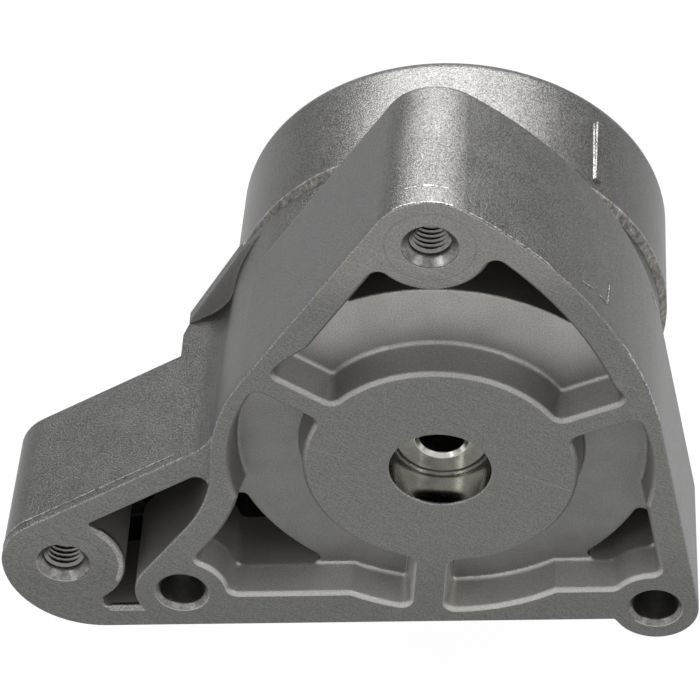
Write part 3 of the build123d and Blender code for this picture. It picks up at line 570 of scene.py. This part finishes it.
# Turned steel: the pivot, the plate that it holds, the spacer and the bearing rings. The lathe and the
# grinder have left fine rings round the axis.
def turned(place, centre, colour, roughness, spread):
    """A turned finish: fine lines that follow the distance from the axis and the depth."""
    deep = axes(place)[1]
    rings = place.node("ShaderNodeCombineXYZ", {}, {"X": from_axis(place, centre), "Y": deep})
    lines = rings.noise(9000, 2, 0.6)
    smear = place.noise(300, 3, 0.6)
    shade = lines.rise(0.3, 0.7) * 0.6 + smear.rise(0.3, 0.7) * 0.4
    return tinted(shade, colour, spread), roughness + (smear - 0.5) * 0.12, lines * 0.4


pulley_centre, turned_spread = (0.0, -0.074), 0.22
for node, name, centre, colour, roughness in (
        ("pivot_shaft", "ground_pivot", (0, 0), (0.5, 0.497, 0.47), 0.22),
        ("retaining_plate", "pressed_plate", (0, 0), (0.3, 0.3, 0.29), 0.34),
        ("bearing_bush", "turned_spacer", pulley_centre, (0.4, 0.4, 0.39), 0.3),
        ("bearing_outer_ring", "ground_outer_ring", pulley_centre, (0.5, 0.5, 0.5), 0.2),
        ("bearing_inner_ring", "ground_inner_ring", pulley_centre, (0.5, 0.5, 0.5), 0.2)):
    material, place, shader = new_material(name)
    soft_normal = rounded(place, 0.0003)
    finish = turned(place, centre, colour, roughness, turned_spread)
    finish = layered(edge_mask(soft_normal) * 0.8, finish, ((0.72, 0.72, 0.7), 0.16, 0.0))
    dress(node, give(material, soft_normal, shader, finish, 0.000006))


# Torsion spring and the sprung band of the damper: oil-hardened spring steel, dark with drawn lines.
material, place, shader = new_material("spring_wire")
drawn = place.noise(1600, 3, 0.6, stretch=(0.3, 1.6, 0.3))
dress("torsion_spring", give(material, rounded(place, 0.0006), shader,
                             (tinted(drawn, (0.12, 0.115, 0.11), 0.35), 0.36, drawn), 0.00002))
material, place, shader = new_material("band_steel")
drawn = place.noise(1600, 3, 0.6, stretch=(1, 0.05, 1))
dress("damping_band", give(material, rounded(place, 0.0002), shader,
                           (tinted(drawn, (0.36, 0.35, 0.33), 0.25), 0.3, drawn), 0.00001))


# Wearing parts of filled polymer: the flanged bush, thrust washer, spring seat and friction shoe. They
# are moulded, so they are dull, with a faint mottle of their filler.
for node, name, colour, roughness in (
        ("pivot_bushing", "bush_polymer", (0.05, 0.048, 0.045), 0.42),
        ("thrust_washer", "washer_polymer", (0.05, 0.048, 0.045), 0.42),
        ("spring_seat", "seat_polymer", (0.03, 0.03, 0.032), 0.5),
        ("damping_shoe", "shoe_polymer", (0.09, 0.075, 0.05), 0.55)):
    material, place, shader = new_material(name)
    filler = place.noise(2200, 3, 0.7)
    dress(node, give(material, rounded(place, 0.0003), shader,
                     (tinted(filler, colour, 0.35), roughness, filler), 0.00003, metallic=0.0))


# Pivot cap: a black plastic plug pushed into the hollow pivot, with a satin moulded top.
material, place, shader = new_material("plug_plastic")
grain = place.noise(3200, 2, 0.6)
soft_normal = rounded(place, 0.0004)
finish = (tinted(grain, (0.02, 0.02, 0.021), 0.3), 0.38 + (grain - 0.5) * 0.15, grain)
finish = layered(edge_mask(soft_normal) * 0.5, finish, ((0.06, 0.06, 0.06), 0.3, 0.0))
dress("pivot_cap", give(material, soft_normal, shader, finish, 0.00003, metallic=0.0))


# Pulley: glass-filled nylon, black, with a fine flow mottle. The belt has polished its track to a
# lighter band with faint lines round it.
material, place, shader = new_material("pulley_nylon")
spin_distance = from_axis(place, pulley_centre)
flow = place.noise(420, 4, 0.7)
fibre = place.noise(3000, 2, 0.6, stretch=(1, 0.25, 1))
finish = (tinted(flow * 0.5 + fibre * 0.5, (0.026, 0.026, 0.028), 0.4), 0.46 + (flow - 0.5) * 0.12, fibre)
track_lines = place.noise(1, 2, 0.6, stretch=(120, 5200, 120))
track_inside, track_outside = 0.0345, 0.0355
track = (spin_distance > track_inside) * (spin_distance < track_outside)
finish = layered(track, finish, (tinted(track_lines.rise(0.3, 0.7), (0.055, 0.054, 0.052), 0.35), 0.3,
                                 track_lines))
soft_normal = rounded(place, 0.0004)
finish = layered(edge_mask(soft_normal) * 0.5, finish, ((0.08, 0.08, 0.08), 0.34, 0.0))
dress("pulley", give(material, soft_normal, shader, finish, 0.00003, metallic=0.0))


# Bearing balls: eight polished steel balls, which stand for the flat-faced ones of the CAD model.
def ball(centre, radius):
    """A sphere: rows from pole to pole and columns round its axis along Y, closed at both poles."""
    rows, columns = 25, 48
    tilt = np.linspace(0, np.pi, rows)[:, None]
    spin = np.linspace(0, 2 * np.pi, columns, endpoint=False)
    shape = np.stack([np.sin(tilt) * np.cos(spin), np.cos(tilt) * np.ones_like(spin),
                      np.sin(tilt) * np.sin(spin)], axis=-1)
    return shape * radius + np.array(centre)


low, high_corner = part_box("bearing_balls")
ball_middle = (low + high_corner) / 2
ball_radius, pitch_radius, ball_count = 0.0033, 0.01425, 8
balls = []
for number in range(ball_count):
    angle = 2 * math.pi * number / ball_count
    centre = (ball_middle.x + pitch_radius * math.cos(angle), ball_middle.y,
              ball_middle.z + pitch_radius * math.sin(angle))
    balls.append(surface(f"ball_{number + 1}", ball(centre, ball_radius), around=True))
material, place, shader = new_material("ball_steel")
haze = place.noise(500, 2, 0.5)
finish = (tinted(haze, (0.62, 0.62, 0.62), 0.06), 0.08 + haze * 0.06, haze)
give(material, rounded(place, 0.0001), shader, finish, 0.000001)
with bpy.context.temp_override(active_object=balls[0], selected_editable_objects=balls):
    bpy.ops.object.join()
ball_set = balls[0]
ball_set.name = "polished_balls"
ball_set.data.materials.append(material)
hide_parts("bearing_balls")
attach(ball_set, "cage")


# Bearing cage and seals: a snap-in cage of natural nylon, and rubber seals with a steel core whose
# faces carry two fine moulded rings.
material, place, shader = new_material("cage_nylon")
mottle = place.noise(900, 3, 0.6)
dress("bearing_cage", give(material, rounded(place, 0.0002), shader,
                           (tinted(mottle, (0.42, 0.33, 0.2), 0.15), 0.45, mottle), 0.00003, metallic=0.0))
for node in ("bearing_seal_front", "bearing_seal_rear"):
    material, place, shader = new_material(node + "_rubber")
    distance = from_axis(place, pulley_centre)
    powder = place.noise(2600, 3, 0.6)
    inner_ring, outer_ring, inner_half, outer_half = 0.0135, 0.0172, 0.00025, 0.0002
    rings = (abs(distance - inner_ring) < inner_half) | (abs(distance - outer_ring) < outer_half)
    finish = (tinted(powder, (0.022, 0.022, 0.023), 0.4), 0.6, powder * 0.4)
    finish = layered(rings, finish, ((0.04, 0.04, 0.042), 0.4, 1.0))
    dress(node, give(material, rounded(place, 0.0002), shader, finish, 0.0001, metallic=0.0))


# Dust shield and pulley bolt: the shield is pressed steel and the flanged bolt is forged, both zinc
# plated, with a slightly clouded shine and bare steel on the corners of the hexagon.
for node, name, colour in (("dust_shield", "plated_shield", (0.46, 0.46, 0.45)),
                           ("pulley_bolt", "plated_bolt", (0.5, 0.49, 0.45))):
    material, place, shader = new_material(name)
    cloud = place.noise(240, 4, 0.7)
    spangle = place.noise(2600, 2, 0.6)
    finish = (tinted(cloud * 0.6 + spangle * 0.4, colour, 0.25), 0.3 + (cloud - 0.5) * 0.16, spangle)
    chips = place.noise(1200, 3, 0.7)
    soft_normal = rounded(place, 0.0003)
    finish = layered(edge_mask(soft_normal) * chips.rise(0.35, 0.6), finish, ((0.7, 0.69, 0.66), 0.2, 0.0))
    dress(node, give(material, soft_normal, shader, finish, 0.00001))
